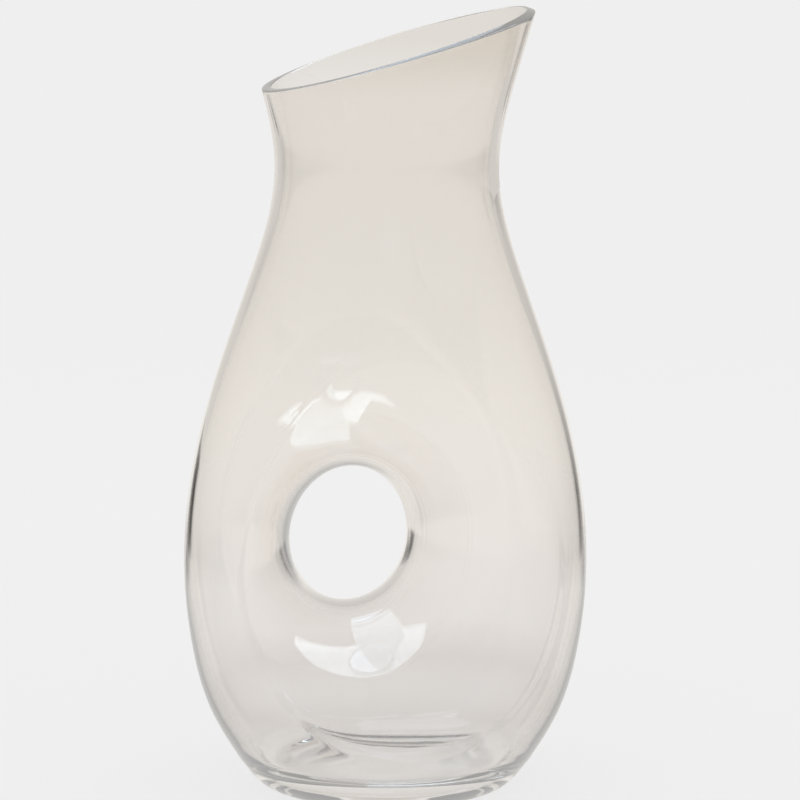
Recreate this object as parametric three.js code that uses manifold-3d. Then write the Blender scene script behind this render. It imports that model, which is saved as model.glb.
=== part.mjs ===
// A hand-blown glass wine carafe: a pear-shaped belly, flattened at the front and the back, with an oval
// finger hole right through it, a drawn-in waist, and a mouth cut on a slant that rises to a pouring tip.
// Millimetres, +Z up. The origin is the centre of the foot, on the surface that the carafe stands on.
// +X points to the pouring tip, and the finger hole runs along Y.
// The real carafe is one body of glass. The meshes are the regions that the glass is worked in,
// and they meet at the seams between those regions.
import * as THREE from "three";
import { mergeVertices } from "three/addons/utils/BufferGeometryUtils.js";
import Module from "manifold-3d";

const wasm = await Module();
wasm.setup();

// Outside of the glass, from the foot up: the radius at each place, and its rise above the place before
const footRadius = 43;
const heelRise = 9;
const heelRadius = 53.8;
const bowlRise = 18;
const bowlRadius = 64.5;
const underBellyRise = 24;
const underBellyRadius = 71.8;
const bellyRise = 32;
const bellyRadius = 75;
const shoulderRise = 57.5;
const shoulderRadius = 67;
const neckRise = 50;
const neckRadius = 50.5;
const waistRise = 41;
const waistRadius = 41.3;
const flareRise = 31;
const flareRadius = 46.8;
const carafeHeight = 290; // to the top of the pouring tip
const tipRadius = 54.7;
const mouthSlant = 16.1; // degrees between the rim and the level

// Thickness of the glass
const heelWall = 5;
const bellyWall = 2.4;
const waistWall = 3.8;
const rimWall = 3.4;
const floorThickness = 5.5;

// Underside and floor
const puntRadius = 30; // hollow in the underside, inside the ring that the carafe stands on
const puntDepth = 1.8;
const floorRadius = 30; // flat part of the floor, before it turns up into the wall
const baseCollar = 6; // from the heel up to the seam with the belly

// Finger hole, drawn in from both sides to a throat halfway
const holeWidth = 44.6;
const holeHeight = 52;
const holeRise = 94.8; // foot to the hole's axis
const holeSetback = 14; // the axis lies this far behind the carafe's own
const holeWall = 3; // glass at the throat
const throatCurve = 40; // radius of the wall along the hole at the throat
const panelDepth = 55.6; // from the carafe's axis to the middle of the flattened panel round the hole
const panelCurve = 170; // radius of a panel from side to side
const panelSweep = 450; // radius that a panel curves out with, from the hole's axis down to the foot
const seamCollar = 3; // from the panel's edge to the funnel's seam
const seamGap = 0.3; // between a funnel's edge and the belly's opening
const shoulderCollar = 10; // from the top of the funnels up to the seam with the neck

// Steps that the curves are drawn with
const turnSteps = 56;
const holeSteps = 44;
const funnelRings = 9;
const bellyRows = 13;
const neckRows = 7;
const lipRows = 6;
const baseRows = 3;
const cornerSteps = 5;
const puntSteps = 4;
const rimSteps = 6;

// A smooth curve through points that rise in x, with no bend at its ends
function smoothCurve(points) {
  const climb = (from, to) => (to[1] - from[1]) / (to[0] - from[0]);
  const last = points.length - 1;
  const bends = new Array(last + 1).fill(0);
  const carried = new Array(last + 1).fill(0);
  for (let i = 1; i < last; i++) {
    const [before, here, after] = [points[i - 1], points[i], points[i + 1]];
    const span = after[0] - before[0];
    const share = (here[0] - before[0]) / span;
    const pivot = share * carried[i - 1] + 2;
    const turn = climb(here, after) - climb(before, here);
    carried[i] = (share - 1) / pivot;
    bends[i] = ((6 * turn) / span - share * bends[i - 1]) / pivot;
  }
  for (let i = last - 1; i > 0; i--) {
    bends[i] += carried[i] * bends[i + 1];
  }
  const spanAt = (x) => {
    const next = points.findIndex((point, i) => i > 0 && x <= point[0]);
    return next < 0 ? last : next;
  };
  const at = (x) => {
    const i = spanAt(x);
    const width = points[i][0] - points[i - 1][0];
    const a = (points[i][0] - x) / width;
    const b = 1 - a;
    const sag = (a ** 3 - a) * bends[i - 1] + (b ** 3 - b) * bends[i];
    return a * points[i - 1][1] + b * points[i][1] + (sag * width ** 2) / 6;
  };
  const slope = (x) => {
    const i = spanAt(x);
    const width = points[i][0] - points[i - 1][0];
    const a = (points[i][0] - x) / width;
    const b = 1 - a;
    const lean = (3 * b ** 2 - 1) * bends[i] - (3 * a ** 2 - 1) * bends[i - 1];
    return climb(points[i - 1], points[i]) + (lean * width) / 6;
  };
  return { at, slope };
}

// Heights of the places on the outline
const heelHeight = heelRise;
const bowlHeight = heelHeight + bowlRise;
const underBellyHeight = bowlHeight + underBellyRise;
const bellyHeight = underBellyHeight + bellyRise;
const shoulderHeight = bellyHeight + shoulderRise;
const neckHeight = shoulderHeight + neckRise;
const waistHeight = neckHeight + waistRise;
const flareHeight = waistHeight + flareRise;
const tipHeight = carafeHeight;

const outline = smoothCurve([
  [heelHeight, heelRadius],
  [bowlHeight, bowlRadius],
  [underBellyHeight, underBellyRadius],
  [bellyHeight, bellyRadius],
  [shoulderHeight, shoulderRadius],
  [neckHeight, neckRadius],
  [waistHeight, waistRadius],
  [flareHeight, flareRadius],
  [tipHeight, tipRadius],
]);
const wall = smoothCurve([
  [heelHeight, heelWall],
  [bellyHeight, bellyWall],
  [waistHeight, waistWall],
  [tipHeight, rimWall],
]);
const outerRadius = (z) => outline.at(z);
const innerRadius = (z) => outline.at(z) - wall.at(z) * Math.hypot(1, outline.slope(z));

function steps(from, to, count) {
  return Array.from({ length: count + 1 }, (_, i) => from + ((to - from) * i) / count);
}

const glass = () =>
  new THREE.MeshStandardMaterial({
    color: 0xe4dfd7,
    roughness: 0.05,
    metalness: 0,
    transparent: true,
    opacity: 0.35,
  });

// Turns a closed outline of radius and height about the carafe's axis
function revolve(profile) {
  const points = profile.map(([radius, height]) => new THREE.Vector2(radius, height));
  return new THREE.LatheGeometry(points, turnSteps).rotateX(Math.PI / 2);
}

// Joins closed loops of points, one after the other and the last to the first, into a ring-shaped body
function closedLoft(loops) {
  const size = loops[0].length;
  const triangles = [];
  loops.forEach((_, i) => {
    const here = i * size;
    const next = ((i + 1) % loops.length) * size;
    for (let j = 0; j < size; j++) {
      const k = (j + 1) % size;
      triangles.push(here + j, next + j, next + k, here + j, next + k, here + k);
    }
  });
  const geometry = new THREE.BufferGeometry();
  geometry.setAttribute("position", new THREE.Float32BufferAttribute(loops.flat(2), 3));
  geometry.setIndex(triangles);
  return geometry;
}

// The band of wall between two heights
function wallBand(from, to, rows) {
  const heights = steps(from, to, rows);
  const outside = heights.map((z) => [outerRadius(z), z]);
  const inside = heights.map((z) => [innerRadius(z), z]).reverse();
  return revolve([...outside, ...inside, outside[0]]);
}

function toManifold(geometry) {
  const bare = geometry.clone();
  bare.deleteAttribute("normal");
  bare.deleteAttribute("uv");
  const merged = mergeVertices(bare);
  const vertProperties = new Float32Array(merged.attributes.position.array);
  const triVerts = new Uint32Array(merged.index.array);
  return new wasm.Manifold(new wasm.Mesh({ numProp: 3, vertProperties, triVerts }));
}

function fromManifold(solid) {
  const mesh = solid.getMesh();
  const geometry = new THREE.BufferGeometry();
  geometry.setAttribute("position", new THREE.BufferAttribute(mesh.vertProperties, 3));
  geometry.setIndex(new THREE.BufferAttribute(mesh.triVerts, 1));
  return geometry;
}

// Thick base: a hollowed underside, the ring that it stands on, the heel, and a floor that turns up
function base() {
  const bend = (start, control, end) => {
    const curve = new THREE.QuadraticBezierCurve(
      new THREE.Vector2(...start),
      new THREE.Vector2(...control),
      new THREE.Vector2(...end),
    );
    return curve.getPoints(cornerSteps).map((point) => [point.x, point.y]);
  };
  const punt = steps(0, puntRadius, puntSteps).map((r) => [r, puntDepth * (1 - (r / puntRadius) ** 2)]);
  const heelControl = heelRadius - outline.slope(heelHeight) * heelHeight;
  const heel = bend([footRadius, 0], [heelControl, 0], [heelRadius, heelHeight]);
  const side = steps(heelHeight, baseSeam, baseRows).slice(1).map((z) => [outerRadius(z), z]);
  const cornerControl = innerRadius(baseSeam) - outline.slope(baseSeam) * (baseSeam - floorThickness);
  const corner = bend(
    [innerRadius(baseSeam), baseSeam],
    [cornerControl, floorThickness],
    [floorRadius, floorThickness],
  );
  return revolve([...punt, ...heel, ...side, ...corner, [0, floorThickness]]);
}

// Where a falling function reaches zero within a range
function zeroBetween(low, high, falling) {
  const halvings = 40;
  for (let i = 0; i < halvings; i++) {
    const middle = (low + high) / 2;
    [low, high] = falling(middle) > 0 ? [middle, high] : [low, middle];
  }
  return low;
}

// Depth of the front panel's face: bowed from side to side, and swept out towards the foot
function panelFace(x, z) {
  const below = Math.max(holeRise - z, 0);
  return panelDepth - x ** 2 / (2 * panelCurve) + below ** 2 / (2 * panelSweep);
}

// Stations along the wall of the hole, out from the throat
const edgeStation = 1;
const seamStation = 2;

// One direction out from the hole's axis: places at a distance out from the throat's edge and a depth
// along the hole, the belly's own depth there, and how far out the panel's edge lies on the belly
function holeDirection(angle) {
  const place = (out, depth) =>
    new THREE.Vector3(
      (holeWidth / 2 + out) * Math.cos(angle) - holeSetback,
      -depth,
      (holeHeight / 2 + out) * Math.sin(angle) + holeRise,
    );
  const bellyDepth = (out) => {
    const { x, z } = place(out, 0);
    return Math.sqrt(Math.max(outerRadius(z) ** 2 - x ** 2, 0));
  };
  const onBelly = (out) => place(out, bellyDepth(out));
  const proud = (out) => {
    const { x, z } = place(out, 0);
    return bellyDepth(out) - panelFace(x, z);
  };
  const edgeOut = zeroBetween(0, bellyRadius, proud);
  return { place, onBelly, edgeOut };
}

// Outside of the glass at the front half of the hole, cut in one direction out from the hole's axis.
// The section is a conic that leaves the throat along the hole and meets the belly at the panel's edge.
function funnelSection(angle) {
  const nudge = 1e-4;
  const { place, onBelly, edgeOut } = holeDirection(angle);
  const [edgeBefore, edge, edgeAfter] = [angle - nudge, angle, angle + nudge].map((turn) => {
    const direction = holeDirection(turn);
    return direction.onBelly(direction.edgeOut);
  });
  const outward = onBelly(edgeOut + nudge).sub(onBelly(edgeOut - nudge)).divideScalar(2 * nudge);
  const alongEdge = edgeAfter.sub(edgeBefore).normalize();
  const collarOut = seamCollar / outward.clone().cross(alongEdge).length(); // square to the edge
  const edgeDepth = -edge.y;
  const cornerDepth = edgeDepth + outward.y * edgeOut; // where the tangents at the conic's ends meet
  const pull = Math.sqrt((throatCurve * edgeOut) / 2) / cornerDepth;

  // The conic up to the edge, then out along the belly by a seam collar for each station more
  return (station) => {
    if (station < edgeStation) {
      const atThroat = (1 - station) ** 2;
      const atCorner = 2 * pull * station * (1 - station);
      const atEdge = station ** 2;
      const whole = atThroat + atCorner + atEdge;
      return place((atEdge * edgeOut) / whole, (atCorner * cornerDepth + atEdge * edgeDepth) / whole);
    }
    return onBelly(edgeOut + (station - edgeStation) * collarOut);
  };
}

// Points on the outside at each station, with the direction from there to the inside of the carafe
function funnelRib(angle, stations) {
  const nudge = 1e-4;
  const [before, here, after] = [angle - nudge, angle, angle + nudge].map(funnelSection);
  return stations.map((station) => {
    const along = here(station + nudge).sub(here(station - nudge));
    const around = after(station).sub(before(station));
    return { point: here(station), inward: around.cross(along).normalize() };
  });
}

const holeAngles = steps(0, 2 * Math.PI, holeSteps).slice(0, -1);

// Seams between the regions
const baseSeam = heelHeight + baseCollar;
const shoulderSeam = funnelSection(Math.PI / 2)(seamStation).z + shoulderCollar;
const lipSeam = waistHeight;

// Half of the finger hole: the front wall of the belly, drawn in to the throat
function frontFunnel() {
  const stations = [...steps(0, edgeStation, funnelRings), seamStation];
  const loops = holeAngles.map((angle) => {
    const rib = funnelRib(angle, stations);
    const inside = rib.map(({ point, inward }, i) => {
      const thickness = THREE.MathUtils.lerp(holeWall, wall.at(point.z), stations[i] / seamStation);
      return point.clone().addScaledVector(inward, thickness);
    });
    const outside = rib.map(({ point }) => point).reverse();
    return [...inside, ...outside].map((point) => point.toArray());
  });
  return closedLoft(loops);
}

// What is cut out of the belly for the front funnel: a plug with its side square to the wall
function funnelPlug() {
  const station = seamStation + (seamStation - edgeStation) * (seamGap / seamCollar);
  const margin = 2 * heelWall; // clear of both faces of the wall
  const outerTipDepth = 2 * bellyRadius;
  const innerTipDepth = bellyRadius / 4;
  const ribs = holeAngles.map((angle) => {
    const [{ point, inward }] = funnelRib(angle, [station]);
    const shifts = [-margin, 0, wall.at(point.z), margin];
    return shifts.map((shift) => point.clone().addScaledVector(inward, shift).toArray());
  });
  const across = ribs[0].length;
  const outerTip = ribs.length * across;
  const innerTip = outerTip + 1;
  const tips = [
    [-holeSetback, -outerTipDepth, holeRise],
    [-holeSetback, -innerTipDepth, holeRise],
  ];
  const triangles = [];
  ribs.forEach((_, i) => {
    const here = i * across;
    const next = ((i + 1) % ribs.length) * across;
    for (let j = 0; j + 1 < across; j++) {
      triangles.push(here + j, here + j + 1, next + j, here + j + 1, next + j + 1, next + j);
    }
    triangles.push(outerTip, here, next, innerTip, next + across - 1, here + across - 1);
  });
  const geometry = new THREE.BufferGeometry();
  geometry.setAttribute("position", new THREE.Float32BufferAttribute([...ribs.flat(2), ...tips.flat()], 3));
  geometry.setIndex(triangles);
  return geometry;
}

// The same body on the other side of the carafe, with its faces still pointing out
function mirrored(geometry) {
  const copy = geometry.clone().scale(1, -1, 1);
  const index = copy.index.array;
  for (let i = 0; i < index.length; i += 3) {
    [index[i + 1], index[i + 2]] = [index[i + 2], index[i + 1]];
  }
  return copy;
}

function bellyShell() {
  const plug = funnelPlug();
  const band = toManifold(wallBand(baseSeam, shoulderSeam, bellyRows));
  return fromManifold(band.subtract(toManifold(plug)).subtract(toManifold(mirrored(plug))));
}

// Height of the slanted rim in each direction
function rimHeight(angle) {
  const rise = Math.tan(THREE.MathUtils.degToRad(mouthSlant));
  const passes = 20;
  let height = tipHeight;
  for (let i = 0; i < passes; i++) {
    height = tipHeight - rise * (tipRadius - outerRadius(height) * Math.cos(angle));
  }
  return height;
}

// Flared lip, cut on the slant, with its rim melted round
function pouringLip() {
  const angles = steps(0, 2 * Math.PI, turnSteps).slice(0, -1);
  const loops = angles.map((angle) => {
    const top = rimHeight(angle);
    const roundHeight = top - rimWall / 2;
    const heights = steps(lipSeam, roundHeight, lipRows);
    const middle = (outerRadius(roundHeight) + innerRadius(roundHeight)) / 2;
    const half = (outerRadius(roundHeight) - innerRadius(roundHeight)) / 2;
    const round = steps(0, Math.PI, rimSteps)
      .slice(1, -1)
      .map((turn) => [middle + half * Math.cos(turn), roundHeight + (rimWall / 2) * Math.sin(turn)]);
    const outside = heights.map((z) => [outerRadius(z), z]);
    const inside = heights.map((z) => [innerRadius(z), z]).reverse();
    const section = [...outside, ...round, ...inside];
    return section.map(([r, z]) => [r * Math.cos(angle), r * Math.sin(angle), z]);
  });
  return closedLoft(loops);
}

const carafe = new THREE.Group();

function addRegion(name, geometry) {
  const mesh = new THREE.Mesh(geometry, glass());
  mesh.name = name;
  carafe.add(mesh);
}

const funnel = frontFunnel();
addRegion("base", base());
addRegion("belly_shell", bellyShell());
addRegion("front_funnel", funnel);
addRegion("rear_funnel", mirrored(funnel));
addRegion("neck", wallBand(shoulderSeam, lipSeam, neckRows));
addRegion("pouring_lip", pouringLip());

export default carafe;
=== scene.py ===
import bpy
import math
import numpy as np
from mathutils import Matrix, Vector


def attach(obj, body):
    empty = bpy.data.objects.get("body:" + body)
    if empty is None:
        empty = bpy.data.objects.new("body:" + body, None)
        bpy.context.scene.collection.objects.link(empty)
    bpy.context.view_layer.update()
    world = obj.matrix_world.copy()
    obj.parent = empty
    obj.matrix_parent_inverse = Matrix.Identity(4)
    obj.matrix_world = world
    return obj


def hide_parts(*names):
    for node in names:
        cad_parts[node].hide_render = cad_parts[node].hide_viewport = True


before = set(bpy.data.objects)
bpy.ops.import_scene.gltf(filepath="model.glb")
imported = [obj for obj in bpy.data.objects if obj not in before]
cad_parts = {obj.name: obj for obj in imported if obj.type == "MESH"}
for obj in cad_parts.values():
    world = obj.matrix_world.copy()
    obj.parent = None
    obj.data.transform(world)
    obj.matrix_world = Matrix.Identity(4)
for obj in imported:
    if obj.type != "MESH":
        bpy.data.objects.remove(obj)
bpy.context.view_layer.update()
scene = bpy.context.scene
bpy.ops.object.select_all(action="DESELECT")
print("frame loaded")

# Camera where the photograph was taken from
camera = {
    "distance": 1.5444,  # level distance to the carafe's axis
    "turn": 8.06,  # degrees to the handle side of straight on
    "height": 0.3815,
    "aimHeight": 0.14457,
    "aimRight": 0.00523,
    "roll": 0.24,  # degrees
    "lens": 189.5,
}


def setCamera(view):
    turn = math.radians(view["turn"])
    right = Vector((math.cos(turn), -math.sin(turn), 0))
    away = Vector((-math.sin(turn), -math.cos(turn), 0))
    place = away * view["distance"] + Vector((0, 0, view["height"]))
    aim = right * view["aimRight"] + Vector((0, 0, view["aimHeight"]))
    back = (place - aim).normalized()
    level = Vector((0, 0, 1)).cross(back).normalized()
    roll = Matrix.Rotation(math.radians(view["roll"]), 3, "Z")
    pose = Matrix((level, back.cross(level), back)).transposed() @ roll
    lens = bpy.data.cameras.new("camera")
    lens.lens = view["lens"]
    lens.clip_start = 0.01
    seat = bpy.data.objects.new("camera", lens)
    seat.matrix_world = Matrix.Translation(place) @ pose.to_4x4()
    scene.collection.objects.link(seat)
    scene.camera = seat


setCamera(camera)
print("camera set")

# Carafe in metres: height and outside radius at each place on the outline, and the glass at some of them
carafe = {
    "heel": (0.009, 0.0538),
    "bowl": (0.027, 0.0645),
    "underBelly": (0.051, 0.0718),
    "belly": (0.083, 0.075),
    "shoulder": (0.1405, 0.067),
    "neck": (0.1905, 0.0505),
    "waist": (0.2315, 0.0413),
    "flare": (0.2625, 0.0468),
    "tip": (0.290, 0.0547),
    "mouthSlant": 16.1,  # degrees
    "heelGlass": 0.005,
    "bellyGlass": 0.0024,
    "waistGlass": 0.0038,
    "rimGlass": 0.0034,
    "rimRound": 0.00068,
    "rimRise": 0.00085,  # of the inner edge over the outer one, because the lip leans out
    "floorGlass": 0.0055,
    "footRadius": 0.043,
    "floorRadius": 0.030,  # flat part of the floor, before it turns up into the wall
    "cornerTop": 0.015,  # the floor's corner ends under this height
    "puntRadius": 0.030,  # hollow of the underside
    "puntDepth": 0.0018,
    "sides": 40,
    "rowStep": 0.0108,  # between the rings of the wall
}

# Finger hole, drawn in from flattened panels at the front and the back to a throat halfway
fingerHole = {
    "width": 0.0446,
    "height": 0.052,
    "rise": 0.0948,
    "setback": 0.014,
    "glass": 0.003,
    "throatCurve": 0.040,  # radius of the wall along the hole at the throat
    "panelDepth": 0.0556,  # from the axis to the middle of a panel
    "panelCurve": 0.170,  # radius of a panel from side to side
    "panelSweep": 0.450,  # radius that a panel curves out with, from the hole's axis down to the foot
    "ringsPerSide": 9,
    "relaxPasses": 15,
    "relaxFrom": 0.01,  # heights between which the belly's faces are evened out
    "relaxTo": 0.2055,
    "sectionSteps": 180,
}


def smoothCurve(places):  # curve through (height, value) places, with no bend at its ends
    heights, values = np.array(places).T
    gaps = np.diff(heights)
    climbs = np.diff(values) / gaps
    system = np.eye(len(heights))
    turns = np.zeros(len(heights))
    for i in range(1, len(heights) - 1):
        system[i, i - 1:i + 2] = gaps[i - 1], 2 * (gaps[i - 1] + gaps[i]), gaps[i]
        turns[i] = 6 * (climbs[i] - climbs[i - 1])
    bends = np.linalg.solve(system, turns)

    def at(height):
        i = np.clip(np.searchsorted(heights, height), 1, len(gaps))
        a = (heights[i] - height) / gaps[i - 1]
        b = 1 - a
        sag = (a ** 3 - a) * bends[i - 1] + (b ** 3 - b) * bends[i]
        return a * values[i - 1] + b * values[i] + sag * gaps[i - 1] ** 2 / 6

    def slope(height):
        i = np.clip(np.searchsorted(heights, height), 1, len(gaps))
        a = (heights[i] - height) / gaps[i - 1]
        b = 1 - a
        lean = (3 * b ** 2 - 1) * bends[i] - (3 * a ** 2 - 1) * bends[i - 1]
        return climbs[i - 1] + lean * gaps[i - 1] / 6

    return at, slope


outlinePlaces = ("heel", "bowl", "underBelly", "belly", "shoulder", "neck", "waist", "flare", "tip")
outerRadius, outerSlope = smoothCurve([carafe[place] for place in outlinePlaces])
glassPlaces = (("heel", "heelGlass"), ("belly", "bellyGlass"), ("waist", "waistGlass"), ("tip", "rimGlass"))
wallGlass, _ = smoothCurve([(carafe[place][0], carafe[glass]) for place, glass in glassPlaces])


def rimHeight(angle):  # the slanted cut, in each direction about the axis
    tipHeight, tipRadius = carafe["tip"]
    rise = math.tan(math.radians(carafe["mouthSlant"]))
    height = np.full(np.shape(angle), tipHeight)
    for _ in range(20):
        height = tipHeight - rise * (tipRadius - outerRadius(height) * np.cos(angle))
    return height


def holePlace(angle, out):  # x and z at a distance out from the throat's edge
    x = (fingerHole["width"] / 2 + out) * np.cos(angle) - fingerHole["setback"]
    z = (fingerHole["height"] / 2 + out) * np.sin(angle) + fingerHole["rise"]
    return x, z


def holeDirection(x, z):  # the angle and the distance out that holePlace takes to x and z
    halfWidth = fingerHole["width"] / 2
    halfHeight = fingerHole["height"] / 2
    across = x + fingerHole["setback"]
    up = z - fingerHole["rise"]
    out = np.zeros(np.shape(x))
    for _ in range(12):
        tall = np.maximum(halfHeight + out, 1e-3)
        wide = np.maximum(halfWidth + out, 1e-3)
        angle = np.arctan2(up / tall, across / wide)
        throat = halfWidth * np.cos(angle) ** 2 + halfHeight * np.sin(angle) ** 2
        out = across * np.cos(angle) + up * np.sin(angle) - throat
    return angle, out


def bellyDepth(angle, out):
    x, z = holePlace(angle, out)
    return np.sqrt(np.maximum(outerRadius(z) ** 2 - x ** 2, 0))


def zeroBetween(low, high, falling):
    for _ in range(40):
        middle = (low + high) / 2
        before = falling(middle) > 0
        low = np.where(before, middle, low)
        high = np.where(before, high, middle)
    return low


def panelDepth(x, z):
    below = np.maximum(fingerHole["rise"] - z, 0)
    bow = x ** 2 / (2 * fingerHole["panelCurve"])
    return fingerHole["panelDepth"] - bow + below ** 2 / (2 * fingerHole["panelSweep"])


def holeSections():  # in each direction, the conic from the throat to the panel's edge on the belly
    angles = np.linspace(-math.pi, math.pi, fingerHole["sectionSteps"] + 1)
    nudge = 1e-6

    def proud(out):  # how far the belly stands in front of the panel
        x, z = holePlace(angles, out)
        return bellyDepth(angles, out) - panelDepth(x, z)

    nearest = np.full(len(angles), 0.005)
    farthest = np.full(len(angles), 0.085)
    edgeOut = zeroBetween(nearest, farthest, proud)
    edgeDepth = bellyDepth(angles, edgeOut)
    slope = (bellyDepth(angles, edgeOut + nudge) - bellyDepth(angles, edgeOut - nudge)) / (2 * nudge)
    corner = edgeDepth - slope * edgeOut  # where the tangents at both ends of the conic meet
    columns = {
        "edgeOut": edgeOut,
        "edgeDepth": edgeDepth,
        "corner": corner,
        "weight": np.sqrt(fingerHole["throatCurve"] * edgeOut / 2) / corner,
    }

    def at(angle):
        around = (angle + math.pi) % (2 * math.pi) - math.pi
        return {name: np.interp(around, angles, column) for name, column in columns.items()}

    return at


sectionAt = holeSections()


def conic(section, station):  # out and depth, from the throat at 0 to the panel's edge at 1
    first = (1 - station) ** 2
    middle = 2 * section["weight"] * station * (1 - station)
    last = station ** 2
    whole = first + middle + last
    out = last * section["edgeOut"] / whole
    depth = (middle * section["corner"] + last * section["edgeDepth"]) / whole
    return out, depth


def nearestStation(section, out, depth):
    low = np.zeros(np.shape(out))
    high = np.ones(np.shape(out))
    golden = 0.618
    for _ in range(50):
        left = high - (high - low) * golden
        right = low + (high - low) * golden
        leftOut, leftDepth = conic(section, left)
        rightOut, rightDepth = conic(section, right)
        leftFar = np.hypot(leftOut - out, leftDepth - depth)
        rightFar = np.hypot(rightOut - out, rightDepth - depth)
        high = np.where(leftFar < rightFar, right, high)
        low = np.where(leftFar < rightFar, low, left)
    return (low + high) / 2


def points(piece):
    places = np.empty(len(piece.data.vertices) * 3)
    piece.data.vertices.foreach_get("co", places)
    return places.reshape(-1, 3)


def setPoints(piece, places):
    piece.data.vertices.foreach_set("co", places.ravel())
    piece.data.update()


def choose(piece, kind, chosen):  # goes into edit mode with only these vertices, edges or faces selected
    bpy.ops.object.mode_set(mode="EDIT")
    bpy.ops.mesh.select_mode(type=kind)
    bpy.ops.mesh.select_all(action="DESELECT")
    bpy.ops.object.mode_set(mode="OBJECT")
    elements = {"VERT": piece.data.vertices, "EDGE": piece.data.edges, "FACE": piece.data.polygons}[kind]
    elements.foreach_set("select", np.asarray(chosen, dtype=bool))
    bpy.ops.object.mode_set(mode="EDIT")


def applyModifier(piece, name, kind, **settings):
    modifier = piece.modifiers.new(name, kind)
    for setting, value in settings.items():
        setattr(modifier, setting, value)
    bpy.ops.object.modifier_apply(modifier=modifier.name)


def onRing(height, radius, lastHeight, lastRadius):  # grows the open edge to the next ring
    bpy.ops.mesh.extrude_region_move(TRANSFORM_OT_translate={"value": (0, 0, height - lastHeight)})
    grow = radius / lastRadius
    bpy.ops.transform.resize(value=(grow, grow, 1), center_override=(0, 0, height))


def blowBody():  # underside, heel, wall and mouth as one open skin, ring on ring
    heelHeight, heelRadius = carafe["heel"]
    tipHeight, _ = carafe["tip"]
    puntRadius = carafe["puntRadius"]
    punt = [(carafe["puntDepth"] * (1 - share ** 2), share * puntRadius) for share in (0.4, 0.7, 0.95)]
    puntEdge = puntRadius * 1.03  # first ring of the flat foot
    foot = [(0, puntEdge), (0, (puntRadius + carafe["footRadius"]) / 2)]
    control = heelRadius - outerSlope(heelHeight) * heelHeight
    heel = []
    for t in (0, 0.25, 0.5, 0.75):
        radius = (1 - t) ** 2 * carafe["footRadius"] + 2 * t * (1 - t) * control + t ** 2 * heelRadius
        heel.append((t ** 2 * heelHeight, radius))
    rows = round((tipHeight - heelHeight) / carafe["rowStep"])
    wall = [(height, outerRadius(height)) for height in np.linspace(heelHeight, tipHeight, rows + 1)]
    rings = [*punt, *foot, *heel, *wall]
    height, radius = rings[0]
    bpy.ops.mesh.primitive_circle_add(vertices=carafe["sides"], radius=radius, location=(0, 0, height))
    body = bpy.context.object
    body.name = "glass_carafe"
    bpy.ops.object.transform_apply(location=True, rotation=True, scale=True)
    bpy.ops.object.mode_set(mode="EDIT")
    bpy.ops.mesh.select_all(action="SELECT")
    for nextHeight, nextRadius in rings[1:]:
        onRing(nextHeight, nextRadius, height, radius)
        height, radius = nextHeight, nextRadius
    bpy.ops.object.mode_set(mode="OBJECT")
    x, y, z = points(body).T
    choose(body, "VERT", np.hypot(x, y) < rings[0][1] * 1.01)
    bpy.ops.mesh.fill_grid(span=carafe["sides"] // 4)  # closes the middle of the underside
    bpy.ops.object.mode_set(mode="OBJECT")
    print("body blown:", len(rings), "rings")
    return body


def slantMouth(body):  # the rows over the waist follow the slanted cut
    places = points(body)
    x, y, z = places.T
    waist = carafe["waist"][0]
    tip = carafe["tip"][0]
    angle = np.arctan2(y, x)
    share = np.clip((z - waist) / (tip - waist), 0, 1)
    top = rimHeight(angle) - carafe["rimRise"]
    height = waist + share * (top - waist)
    radius = outerRadius(height)
    over = z > waist
    places[over] = np.stack([radius * np.cos(angle), radius * np.sin(angle), height], axis=1)[over]
    setPoints(body, places)
    print("mouth cut on the slant")


def edgeLoop(body):  # the front opening's edge, point after point
    uses = {}
    for face in body.data.polygons:
        for key in face.edge_keys:
            uses[key] = uses.get(key, 0) + 1
    waist = carafe["waist"][0]
    vertices = body.data.vertices
    beside = {}
    for (a, b), count in uses.items():
        if count == 1 and vertices[a].co.z < waist and vertices[a].co.y < 0:
            beside.setdefault(a, []).append(b)
            beside.setdefault(b, []).append(a)
    first = max(beside, key=lambda i: (round(vertices[i].co.z, 5), -abs(vertices[i].co.x)))
    loop = [first, min(beside[first], key=lambda i: vertices[i].co.x)]
    while len(loop) < len(beside):
        loop.append(next(i for i in beside[loop[-1]] if i != loop[-2]))
    return loop


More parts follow.
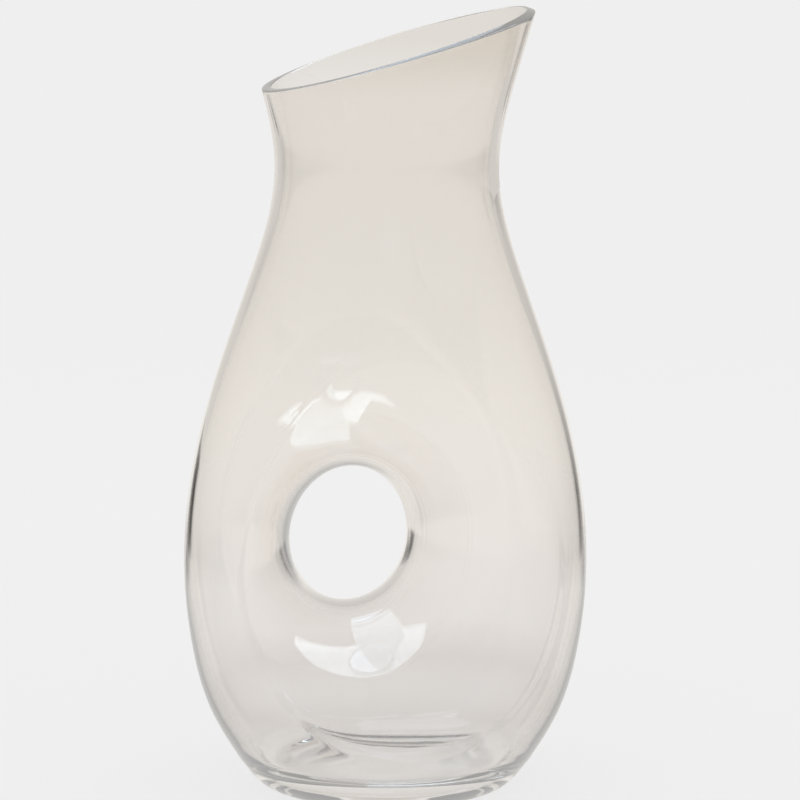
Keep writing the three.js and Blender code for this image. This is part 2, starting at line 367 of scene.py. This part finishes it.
def openFingerHole(body):  # cuts off what stands in front of the panels, and draws the wall in between them
    middles = np.array([face.center for face in body.data.polygons])
    proud = np.abs(middles[:, 1]) > panelDepth(middles[:, 0], middles[:, 2])
    choose(body, "FACE", proud)
    bpy.ops.mesh.delete(type="FACE")
    bpy.ops.object.mode_set(mode="OBJECT")
    loop = edgeLoop(body)
    before = points(body)
    loopPlaces = before[loop]

    # Shares of the way round the stepped edge become shares of the way round the panel's true edge
    ways = np.linalg.norm(np.diff(loopPlaces, axis=0, append=loopPlaces[:1]), axis=1)
    shares = np.concatenate([[0], np.cumsum(ways)[:-1]]) / ways.sum()
    turns = math.pi / 2 + np.linspace(0, 2 * math.pi, 4 * fingerHole["sectionSteps"] + 1)
    section = sectionAt(turns)
    x, z = holePlace(turns, section["edgeOut"])
    trueWays = np.sqrt(np.diff(x) ** 2 + np.diff(z) ** 2 + np.diff(section["edgeDepth"]) ** 2)
    trueShares = np.concatenate([[0], np.cumsum(trueWays)]) / trueWays.sum()
    firstX = loopPlaces[0, 0]
    offset = np.interp(-firstX, -x[:len(x) // 4], trueShares[:len(x) // 4])
    loopTurns = np.interp((shares + offset) % 1, trueShares, turns)

    edge = np.zeros(len(before), dtype=bool)
    for i in loop:
        mirrored = np.argmin(np.linalg.norm(before - before[i] * (1, -1, 1), axis=1))
        edge[i] = edge[mirrored] = True
    choose(body, "VERT", edge)
    rings = fingerHole["ringsPerSide"]
    bpy.ops.mesh.bridge_edge_loops(number_cuts=2 * rings - 1, interpolation="LINEAR", smoothness=0)
    bpy.ops.object.mode_set(mode="OBJECT")

    # Each bridged point still has the x and z of its place on the edge, and its y tells its ring
    places = points(body)
    drawn = np.arange(len(places)) >= len(edge)
    drawn[:len(edge)] = edge
    for i in np.flatnonzero(drawn):
        x, y, z = places[i]
        match = np.argmin(np.hypot(loopPlaces[:, 0] - x, loopPlaces[:, 2] - z))
        ring = round(abs(y) / abs(loopPlaces[match, 1]) * rings)
        turn = loopTurns[match]
        out, depth = conic(sectionAt(turn), ring / rings)
        newX, newZ = holePlace(turn, out)
        places[i] = newX, math.copysign(depth, y) if ring else 0, newZ
    setPoints(body, places)
    print("finger hole drawn in:", len(loop), "points round it")
    return drawn


def relaxBelly(body, drawn):  # evens out the belly's faces round the panels, on the belly's own form
    z = points(body)[:, 2]
    loose = ~drawn & (z > fingerHole["relaxFrom"]) & (z < fingerHole["relaxTo"])
    choose(body, "VERT", loose)
    for _ in range(fingerHole["relaxPasses"]):
        bpy.ops.mesh.vertices_smooth(factor=0.5, repeat=2)
        bpy.ops.object.mode_set(mode="OBJECT")
        places = points(body)
        radius = np.hypot(places[:, 0], places[:, 1])
        grow = outerRadius(places[:, 2]) / np.maximum(radius, 1e-6)
        places[loose, 0] *= grow[loose]
        places[loose, 1] *= grow[loose]
        setPoints(body, places)
        bpy.ops.object.mode_set(mode="EDIT")
    bpy.ops.object.mode_set(mode="OBJECT")


def faceOutward(body):  # the skin is open at the mouth, so the way that its underside faces decides
    bpy.ops.object.mode_set(mode="EDIT")
    bpy.ops.mesh.select_all(action="SELECT")
    bpy.ops.mesh.normals_make_consistent(inside=False)
    bpy.ops.object.mode_set(mode="OBJECT")
    underside = min(body.data.polygons, key=lambda face: face.center.xy.length)
    if underside.normal.z > 0:
        bpy.ops.object.mode_set(mode="EDIT")
        bpy.ops.mesh.flip_normals()
        bpy.ops.object.mode_set(mode="OBJECT")


def trueForm(body):  # sets every point over the heel on the exact outside, and gives the glass behind it
    places = points(body)
    x, y, z = places.T
    heelHeight = carafe["heel"][0]
    radius = np.hypot(x, y)
    angle, out = holeDirection(x, z)
    section = sectionAt(angle)
    depth = np.abs(y)
    inPanel = (out < section["edgeOut"]) & (z > heelHeight) & (z < carafe["neck"][0])
    onWall = ~inPanel & (z > heelHeight)

    station = np.where(inPanel, nearestStation(section, out, depth), 1)
    wall = wallGlass(np.clip(z, heelHeight, None))
    glass = fingerHole["glass"] + (wall - fingerHole["glass"]) * station

    newOut, newDepth = conic(section, station)
    holeX, holeZ = holePlace(angle, newOut)
    places[inPanel] = np.stack([holeX, np.sign(y) * newDepth, holeZ], axis=1)[inPanel]
    grow = outerRadius(z) / np.maximum(radius, 1e-6)
    places[onWall, 0] *= grow[onWall]
    places[onWall, 1] *= grow[onWall]
    setPoints(body, places)
    print("true form set:", int(inPanel.sum()), "points in the panels")
    return glass


def thickCorner(outer, inner):  # the flat floor, and the corner that it turns up into the wall with
    x, y, z = outer.T
    radius = np.hypot(x, y)
    top = carafe["cornerTop"]
    lean = outerSlope(top)
    along = wallGlass(top) / math.hypot(1, lean)
    endRadius = outerRadius(top) - along
    endHeight = top + along * lean
    floor = carafe["floorGlass"]
    control = endRadius - lean * (endHeight - floor)
    way = np.maximum(radius - carafe["puntRadius"], 0) + np.maximum(z, 0) * (radius > carafe["puntRadius"])
    t = np.clip(way / (outerRadius(top) - carafe["puntRadius"] + top), 0, 1)
    flat = np.minimum(radius / carafe["puntRadius"], 1) * carafe["floorRadius"]
    newRadius = (1 - t) ** 2 * flat + 2 * t * (1 - t) * control + t ** 2 * endRadius
    newHeight = (1 - t ** 2) * floor + t ** 2 * endHeight
    grow = newRadius / np.maximum(radius, 1e-6)
    corner = np.stack([x * grow, y * grow, newHeight], axis=1)
    return np.where((z < top)[:, None], corner, inner)


def thicken(body, glass):  # inner skin at the glass's own thickness, and a flat rim with rounded edges
    outerPlaces = points(body)
    thickest = float(glass.max())
    group = body.vertex_groups.new(name="glass")
    for i, value in enumerate(glass):
        group.add([i], float(value) / thickest, "REPLACE")
    applyModifier(body, "glass", "SOLIDIFY", thickness=thickest, offset=-1, use_even_offset=True,
                  use_quality_normals=True, vertex_group=group.name)
    body.vertex_groups.clear()
    places = points(body)
    inner = np.arange(len(outerPlaces)) + len(outerPlaces)  # the inner skin's points follow the outer skin's
    places[inner] = thickCorner(outerPlaces, places[inner])
    setPoints(body, places)

    # The rim is the only place where faces meet at a sharp edge over the waist
    mesh = body.data
    edgeFaces = {}
    for face in mesh.polygons:
        for key in face.edge_keys:
            edgeFaces.setdefault(key, []).append(face.normal)
    waist = carafe["waist"][0]
    sharpCosine = 0.5
    sharp = []
    for edge in mesh.edges:
        sides = edgeFaces[edge.key]
        high = mesh.vertices[edge.vertices[0]].co.z > waist
        sharp.append(high and len(sides) == 2 and sides[0].dot(sides[1]) < sharpCosine)
    choose(body, "EDGE", sharp)
    bpy.ops.mesh.bevel(offset=carafe["rimRound"], segments=4, profile=0.5, affect="EDGES")
    bpy.ops.object.mode_set(mode="OBJECT")
    print("glass thickened:", len(body.data.polygons), "faces")


# Faintly warm glass, with painted light and shade: height and tint there, the steps lighter or darker to
# stand in for how light falls through it, darkest as painted shade in the ring that the carafe stands on
glassTintShadeAndGlow = {
    "span": 0.29,
    "turns": 9,  # bounces that light is followed for in the glass
    "paintedGlowLevel": 0.16,  # painted glow on the glass, for light that is still in it then
    "stops": [(0.0, (0.74, 0.73, 0.72)), (0.00012, (1.0, 0.995, 0.99)), (0.0057, (1.0, 0.99, 0.98)),
              (0.0065, (0.96, 0.945, 0.93)), (0.011, (0.915, 0.9, 0.885)), (0.02, (0.925, 0.91, 0.895)),
              (0.034, (0.85, 0.825, 0.805)), (0.05, (0.95, 0.93, 0.915)), (0.075, (0.97, 0.95, 0.93)),
              (0.14, (0.98, 0.955, 0.92)), (0.2, (0.94, 0.915, 0.88)), (0.26, (0.935, 0.905, 0.87)),
              (0.275, (0.88, 0.84, 0.785))],
}


def clearGlass():
    material = bpy.data.materials.new("clear_glass")
    material.use_nodes = True
    nodes = material.node_tree.nodes
    links = material.node_tree.links
    shader = nodes["Principled BSDF"]
    shader.inputs["Roughness"].default_value = 0
    shader.inputs["IOR"].default_value = 1.5
    shader.inputs["Transmission Weight"].default_value = 1
    place = nodes.new("ShaderNodeTexCoord")
    parts = nodes.new("ShaderNodeSeparateXYZ")
    share = nodes.new("ShaderNodeMapRange")
    share.inputs["From Max"].default_value = glassTintShadeAndGlow["span"]
    tint = nodes.new("ShaderNodeValToRGB")
    elements = tint.color_ramp.elements
    while len(elements) < len(glassTintShadeAndGlow["stops"]):
        elements.new(1)
    # the warm hue is the glass's own; the lighter and darker steps by height are painted light and shade
    for element, (height, color) in zip(elements, glassTintShadeAndGlow["stops"]):
        element.position = height / glassTintShadeAndGlow["span"]
        element.color = (*color, 1)
    links.new(place.outputs["Object"], parts.inputs["Vector"])
    links.new(parts.outputs["Z"], share.inputs["Value"])
    links.new(share.outputs["Result"], tint.inputs["Fac"])
    links.new(tint.outputs["Color"], shader.inputs["Base Color"])

    # Painted light: the glass glows at a set level for light that still turns in it after the last bounce,
    # instead of black
    path = nodes.new("ShaderNodeLightPath")
    paintedGlow = nodes.new("ShaderNodeMath")
    paintedGlow.operation = "GREATER_THAN"
    paintedGlow.inputs[1].default_value = glassTintShadeAndGlow["turns"] - 0.5
    shader.inputs["Emission Strength"].default_value = glassTintShadeAndGlow["paintedGlowLevel"]
    links.new(path.outputs["Ray Depth"], paintedGlow.inputs[0])
    links.new(paintedGlow.outputs[0], shader.inputs["Emission Color"])
    material.cycles.emission_sampling = "NONE"
    return material


body = blowBody()
slantMouth(body)
drawnPoints = openFingerHole(body)
relaxBelly(body, drawnPoints)
faceOutward(body)
applyModifier(body, "smooth", "SUBSURF", levels=2, render_levels=2)
glassBehind = trueForm(body)
thicken(body, glassBehind)
bpy.ops.object.shade_smooth()
body.data.materials.append(clearGlass())
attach(body, "root")
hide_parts("base", "belly_shell", "front_funnel", "rear_funnel", "neck", "pouring_lip")
print("carafe done")

# Pale floor that fades into the background, and softboxes, flags and a dim room for the glass to mirror
studio = {
    "pale": (0.863, 0.863, 0.863),
    "floorSize": 6,
    "floorDrop": 0.0002,  # under the foot
    "fadeStart": 0.5,
    "fadeEnd": 1.6,
    "floorGlow": 0.89,
    "floorMatt": 0.12,
    "cardColor": (0.85, 1.02, 1.2),
    # softboxes over the carafe: height, glow and outline in plan
    "cards": {
        "top": (0.5, 1.9, [(-0.04, -0.08), (0.014, 0), (0.057, 0.11), (0.095, 0.21), (0.1, 0.41),
                           (-0.25, 0.41), (-0.275, 0.34), (-0.268, 0.19), (-0.205, 0.07), (-0.072, 0.023)]),
        "strip": (0.99, 3.2, [(-0.9, 0.1), (-0.5, -0.06), (0.2, -0.08), (0.7, -0.12), (1.5, 0.15),
                              (1.6, 0.42), (0.9, 0.37), (0, 0.34), (-0.53, 0.32)]),
        "middle": (0.98, 3.1, [(-0.25, 0), (0.22, 0), (0.22, 0.22), (-0.25, 0.22)]),
    },
    # flags that keep the softboxes off the wrong side of the belly
    "flags": {
        "left": [(-0.2, 0.98, 0.065), (-0.46, 0.9, 0.065), (-0.46, 0.9, 0.25), (-0.2, 0.98, 0.25)],
        "right": [(0.055, 0.036, 0.22), (0.25, 0.034, 0.22), (0.25, 0.14, 0.22), (0.05, 0.14, 0.22),
                  (0.033, 0.06, 0.22)],
    },
    "flagGlow": 0.66,
    # degrees to the handle side of straight behind the carafe, and how bright the room is there
    "walls": [(-130, 0.6), (-90, 0.3), (-50, 0.4), (-34, 0.5), (-30, 0.2), (-22, 0.2), (-17, 0.86),
              (17, 0.86), (21, 0.05), (29, 0.07), (33, 0.6), (80, 0.45), (120, 0.65)],
    # sine of the angle over the horizon, with the room's brightness, and with the share of the walls
    "levels": [(-0.5, 0.82), (-0.3, 0.8), (0, 0.66), (0.5, 0.6)],
    "wallBand": [(-0.215, 0), (-0.19, 1), (-0.1, 1), (-0.03, 0.6), (0.05, 0.15), (0.2, 0)],
    "roomTint": (1.0, 0.97, 0.93),
}


def bouncedRay(nodes, links):  # 1 for a ray that the glass has mirrored, 0 for any other
    path = nodes.new("ShaderNodeLightPath")
    bounced = nodes.new("ShaderNodeMath")
    bounced.operation = "GREATER_THAN"
    bounced.inputs[1].default_value = 0.5
    links.new(path.outputs["Glossy Depth"], bounced.inputs[0])
    return bounced.outputs[0]


def paleFloor():
    bpy.ops.object.select_all(action="DESELECT")
    bpy.ops.mesh.primitive_plane_add(size=studio["floorSize"], location=(0, 0, -studio["floorDrop"]))
    floor = bpy.context.object
    floor.name = "floor"
    material = bpy.data.materials.new("floor")
    material.use_nodes = True
    nodes = material.node_tree.nodes
    links = material.node_tree.links
    nodes.clear()
    glow = nodes.new("ShaderNodeEmission")
    glow.inputs["Color"].default_value = (*studio["pale"], 1)
    glow.inputs["Strength"].default_value = studio["floorGlow"]
    matt = nodes.new("ShaderNodeBsdfDiffuse")
    matt.inputs["Color"].default_value = (*[studio["floorMatt"]] * 3, 1)
    lit = nodes.new("ShaderNodeAddShader")
    clear = nodes.new("ShaderNodeBsdfTransparent")
    fade = nodes.new("ShaderNodeMixShader")
    place = nodes.new("ShaderNodeTexCoord")
    length = nodes.new("ShaderNodeVectorMath")
    length.operation = "LENGTH"
    ramp = nodes.new("ShaderNodeMapRange")
    ramp.interpolation_type = "SMOOTHSTEP"
    ramp.inputs["From Min"].default_value = studio["fadeStart"]
    ramp.inputs["From Max"].default_value = studio["fadeEnd"]
    unseen = nodes.new("ShaderNodeMath")
    unseen.operation = "MAXIMUM"
    output = nodes.new("ShaderNodeOutputMaterial")
    links.new(place.outputs["Object"], length.inputs[0])
    links.new(length.outputs["Value"], ramp.inputs["Value"])
    links.new(ramp.outputs["Result"], unseen.inputs[0])
    links.new(bouncedRay(nodes, links), unseen.inputs[1])
    links.new(unseen.outputs[0], fade.inputs["Fac"])
    links.new(glow.outputs[0], lit.inputs[0])
    links.new(matt.outputs[0], lit.inputs[1])
    links.new(lit.outputs[0], fade.inputs[1])
    links.new(clear.outputs[0], fade.inputs[2])
    links.new(fade.outputs[0], output.inputs["Surface"])
    floor.data.materials.append(material)


def card(name, corners, glow, tint):  # a glowing card that only shows where the glass mirrors it
    bpy.ops.object.select_all(action="DESELECT")
    bpy.ops.mesh.primitive_circle_add(vertices=len(corners), fill_type="NGON")
    sheet = bpy.context.object
    sheet.name = name
    setPoints(sheet, np.array(corners))
    material = bpy.data.materials.new(name)
    material.use_nodes = True
    nodes = material.node_tree.nodes
    links = material.node_tree.links
    nodes.clear()
    shine = nodes.new("ShaderNodeEmission")
    shine.inputs["Color"].default_value = (*tint, 1)
    shine.inputs["Strength"].default_value = glow
    clear = nodes.new("ShaderNodeBsdfTransparent")
    mix = nodes.new("ShaderNodeMixShader")
    output = nodes.new("ShaderNodeOutputMaterial")
    links.new(bouncedRay(nodes, links), mix.inputs["Fac"])
    links.new(clear.outputs[0], mix.inputs[1])
    links.new(shine.outputs[0], mix.inputs[2])
    links.new(mix.outputs[0], output.inputs["Surface"])
    sheet.data.materials.append(material)
    sheet.visible_camera = False
    sheet.visible_diffuse = False
    sheet.visible_shadow = False


def levelRamp(nodes, stops, span, tint):  # grey levels over a span of values, in a tint
    share = nodes.new("ShaderNodeMapRange")
    share.inputs["From Min"].default_value = -span
    share.inputs["From Max"].default_value = span
    ramp = nodes.new("ShaderNodeValToRGB")
    elements = ramp.color_ramp.elements
    while len(elements) < len(stops):
        elements.new(1)
    for element, (value, level) in zip(elements, stops):
        element.position = 0.5 + value / (2 * span)
        element.color = [level * part for part in tint] + [1]
    return share, ramp


def studioRoom():
    world = bpy.data.worlds.new("studio")
    world.use_nodes = True
    nodes = world.node_tree.nodes
    links = world.node_tree.links
    pale = nodes["Background"]
    pale.inputs["Color"].default_value = (*studio["pale"], 1)
    direction = nodes.new("ShaderNodeTexCoord")
    turn = nodes.new("ShaderNodeMapping")  # turns straight behind the carafe to +Y
    turn.inputs["Rotation"].default_value = (0, 0, math.radians(camera["turn"]))
    parts = nodes.new("ShaderNodeSeparateXYZ")
    left = nodes.new("ShaderNodeMath")
    left.operation = "MULTIPLY"
    left.inputs[1].default_value = -1
    angle = nodes.new("ShaderNodeMath")
    angle.operation = "ARCTAN2"
    degrees = nodes.new("ShaderNodeMath")
    degrees.operation = "DEGREES"
    wallShare, walls = levelRamp(nodes, studio["walls"], 180, studio["roomTint"])
    levelShare, levels = levelRamp(nodes, studio["levels"], 1, studio["roomTint"])
    bandShare, band = levelRamp(nodes, studio["wallBand"], 1, (1, 1, 1))
    around = nodes.new("ShaderNodeMix")
    around.data_type = "RGBA"
    room = nodes.new("ShaderNodeBackground")
    mix = nodes.new("ShaderNodeMixShader")
    links.new(direction.outputs["Generated"], turn.inputs["Vector"])
    links.new(turn.outputs["Vector"], parts.inputs["Vector"])
    links.new(parts.outputs["X"], left.inputs[0])
    links.new(left.outputs[0], angle.inputs[0])
    links.new(parts.outputs["Y"], angle.inputs[1])
    links.new(angle.outputs[0], degrees.inputs[0])
    links.new(degrees.outputs[0], wallShare.inputs["Value"])
    links.new(wallShare.outputs["Result"], walls.inputs["Fac"])
    links.new(parts.outputs["Z"], levelShare.inputs["Value"])
    links.new(levelShare.outputs["Result"], levels.inputs["Fac"])
    links.new(parts.outputs["Z"], bandShare.inputs["Value"])
    links.new(bandShare.outputs["Result"], band.inputs["Fac"])
    links.new(band.outputs["Color"], around.inputs["Factor"])
    links.new(levels.outputs["Color"], around.inputs["A"])
    links.new(walls.outputs["Color"], around.inputs["B"])
    links.new(around.outputs["Result"], room.inputs["Color"])
    links.new(bouncedRay(nodes, links), mix.inputs["Fac"])
    links.new(pale.outputs[0], mix.inputs[1])
    links.new(room.outputs[0], mix.inputs[2])
    links.new(mix.outputs[0], nodes["World Output"].inputs["Surface"])
    scene.world = world
    scene.view_settings.view_transform = "Standard"
    scene.cycles.max_bounces = glassTintShadeAndGlow["turns"]
    scene.cycles.transmission_bounces = glassTintShadeAndGlow["turns"]
    scene.cycles.glossy_bounces = glassTintShadeAndGlow["turns"]


paleFloor()
for name, (height, glow, outline) in studio["cards"].items():
    card(name + "_card", [(x, y, height) for x, y in outline], glow, studio["cardColor"])
for name, corners in studio["flags"].items():
    card(name + "_flag", corners, studio["flagGlow"], studio["roomTint"])
studioRoom()
print("studio set")
